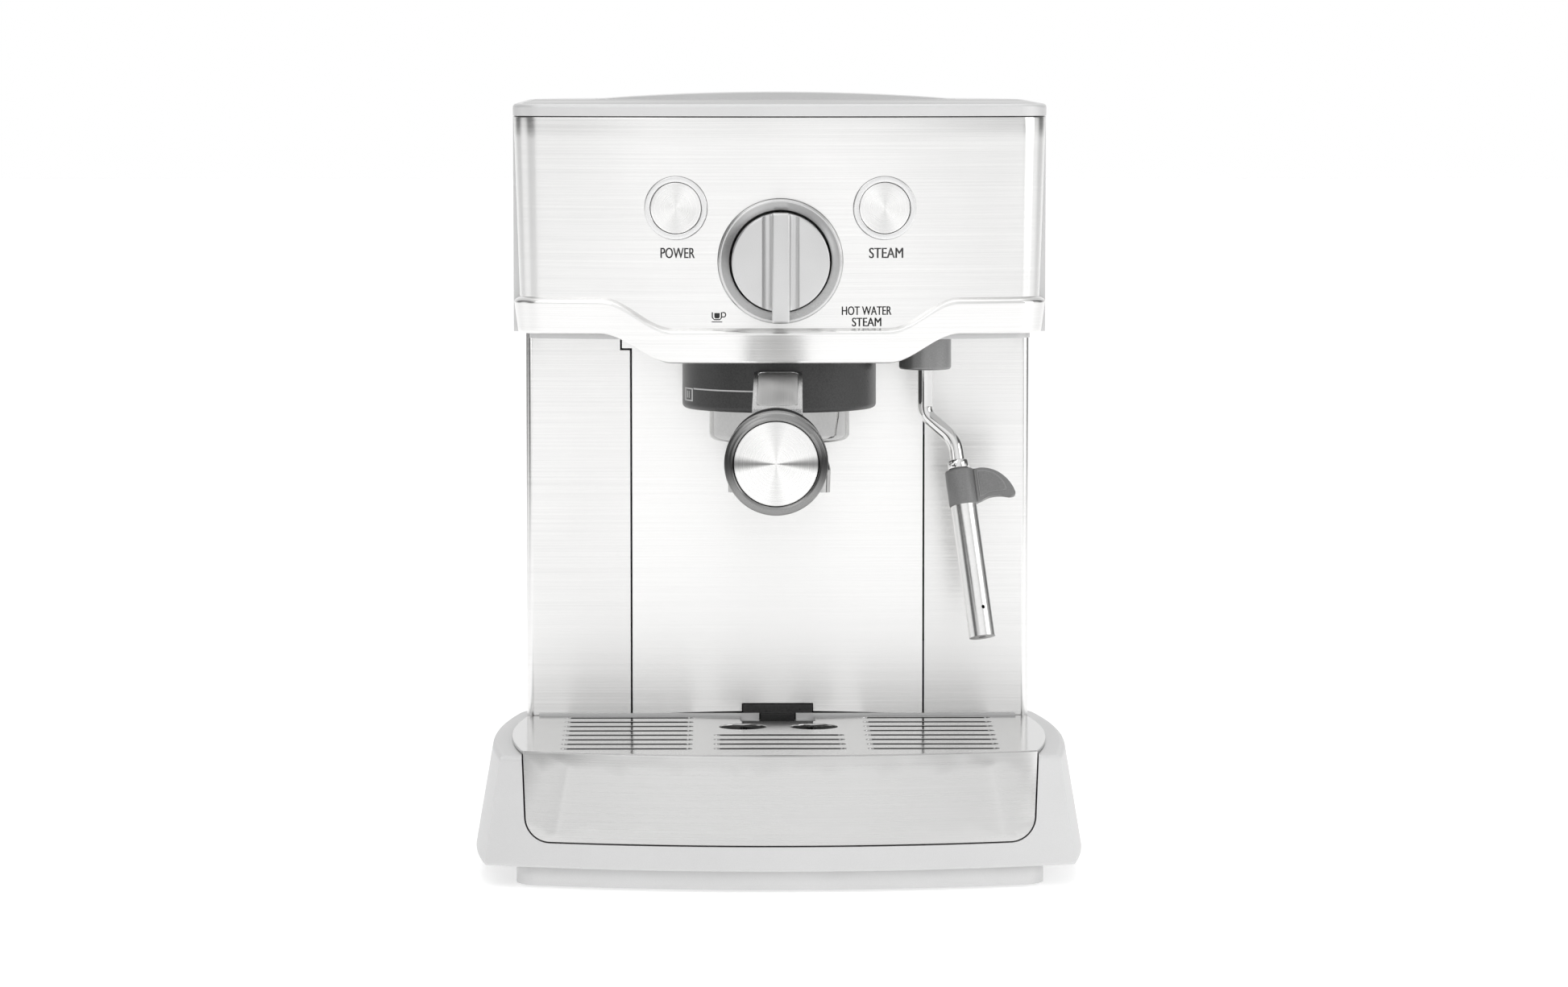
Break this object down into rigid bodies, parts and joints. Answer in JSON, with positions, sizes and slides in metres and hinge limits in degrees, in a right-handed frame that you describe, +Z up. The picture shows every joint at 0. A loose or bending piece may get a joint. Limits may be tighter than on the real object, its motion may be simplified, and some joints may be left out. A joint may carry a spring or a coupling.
{
  "type": "espresso machine",
  "caption": "Counter-top espresso machine: bowed brushed-steel head, splash panel, flared base with drip tray, twin-spout filter holder, swivelling steam wand and rear water tank.",
  "frame": {"origin": "centre of the footprint of the whole outline, on the worktop, under the middle of the outer box", "axes": "+Z up; front of the machine, where the filter holder's handle points, is -Y; +X is to the right seen from the front, on the steam wand's side"},
  "size_m": [0.2584, 0.37, 0.328],
  "materials": {
    "silver_plastic": "satin silver moulding, very fine texture",
    "brushed_steel": "stainless sheet, brushed across",
    "grate_steel": "stainless sheet, nearly mirror-bright",
    "chrome": "bright plated",
    "spun_aluminium": "spun in fine rings",
    "satin_aluminium": "satin, fine grain",
    "black_plastic": "satin black moulding",
    "grey_plastic": "satin grey moulding",
    "rubber": "matt black",
    "clear_plastic": "clear, slightly smoky",
    "cast_aluminium": "cast, matt",
    "stainless": "pressed stainless",
    "zinc_steel": "zinc-plated sheet",
    "silicone": "translucent white silicone hose",
    "circuit_board": "green board with dark parts",
    "white_plastic": "plain moulding"
  },
  "bodies": {
    "machine": {"base_housing": "silver_plastic", "base_plinth": "silver_plastic", "rubber_feet": "rubber", "base_screws": "zinc_steel", "cord_gland": "rubber", "drain_spout": "black_plastic", "left_side_panel": "brushed_steel", "right_side_panel": "brushed_steel", "splash_back": "brushed_steel", "rear_cover": "silver_plastic", "inner_chassis": "zinc_steel", "front_fascia": "brushed_steel", "head_housing": "silver_plastic", "head_underside": "silver_plastic", "top_deck": "silver_plastic", "cup_plate": "brushed_steel", "knob_bezel": "satin_aluminium", "steam_valve": "cast_aluminium", "power_button_ring": "satin_aluminium", "steam_button_ring": "satin_aluminium", "power_switch": "white_plastic", "steam_switch": "white_plastic", "group_collar": "black_plastic", "group_head": "cast_aluminium", "group_gasket": "rubber", "shower_screen": "stainless", "shower_screw": "zinc_steel", "steam_socket": "grey_plastic", "tank_seat": "white_plastic", "thermoblock": "cast_aluminium", "water_pump": "white_plastic", "pump_mounts": "rubber", "supply_hose": "silicone", "brew_hose": "silicone", "steam_pipe": "silicone", "control_board": "circuit_board"},
    "drip_tray": {"drip_tray": "silver_plastic", "drip_tray_front": "brushed_steel"},
    "drip_grate": {"drip_grate": "grate_steel"},
    "water_tank": {"water_tank": "clear_plastic", "tank_valve": "white_plastic"},
    "tank_lid": {"tank_lid": "silver_plastic", "lid_hinge_pins": "zinc_steel"},
    "selector": {"selector_knob": "satin_aluminium", "knob_shaft": "zinc_steel"},
    "power_button": {"power_button": "spun_aluminium"},
    "steam_button": {"steam_button": "spun_aluminium"},
    "filter_holder": {"filter_holder_bowl": "chrome", "filter_basket": "stainless", "filter_holder_spout": "chrome", "filter_holder_neck": "satin_aluminium", "filter_holder_handle": "black_plastic", "handle_end_ring": "chrome", "handle_end_disc": "spun_aluminium"},
    "steam_wand": {"steam_tube": "chrome", "steam_nut": "chrome"},
    "froth_sleeve": {"wand_grip": "grey_plastic", "froth_sleeve": "stainless"}
  },
  "joints": [
    {"name": "drip_tray_slide", "type": "slide", "parent": "machine", "child": "drip_tray", "axis": [0, -1, 0], "range_m": [0, 0.15]},
    {"name": "grate_lift", "type": "slide", "parent": "drip_tray", "child": "drip_grate", "axis": [0, 0, 1], "range_m": [0, 0.03]},
    {"name": "tank_lift", "type": "slide", "parent": "machine", "child": "water_tank", "axis": [0, 0, 1], "range_m": [0, 0.27]},
    {"name": "tank_lid_hinge", "type": "hinge", "parent": "water_tank", "child": "tank_lid", "pos_m": [0, 0.1775, 0.3235], "axis": [-1, 0, 0], "range_deg": [0, 90]},
    {"name": "selector_turn", "type": "hinge", "parent": "machine", "child": "selector", "pos_m": [0, -0.08, 0.2605], "axis": [0, -1, 0], "range_deg": [-45, 45]},
    {"name": "power_button_press", "type": "slide", "parent": "machine", "child": "power_button", "axis": [0.1139, 0.9935, 0], "range_m": [0, 0.002], "stiffness_N_per_m": 500, "springref_m": -0.001},
    {"name": "steam_button_press", "type": "slide", "parent": "machine", "child": "steam_button", "axis": [-0.1139, 0.9935, 0], "range_m": [0, 0.002], "stiffness_N_per_m": 500, "springref_m": -0.001},
    {"name": "filter_holder_turn", "type": "hinge", "parent": "machine", "child": "filter_holder", "pos_m": [0, -0.025, 0.2], "axis": [0, 0, 1], "range_deg": [-49, 0]},
    {"name": "steam_wand_swivel", "type": "hinge", "parent": "machine", "child": "steam_wand", "pos_m": [0.0615, -0.025, 0.21], "axis": [0, 0, 1], "range_deg": [-60, 80]},
    {"name": "froth_sleeve_slide", "type": "slide", "parent": "steam_wand", "child": "froth_sleeve", "axis": [0.1272, -0.2728, -0.9536], "range_m": [0, 0.038]}
  ]
}
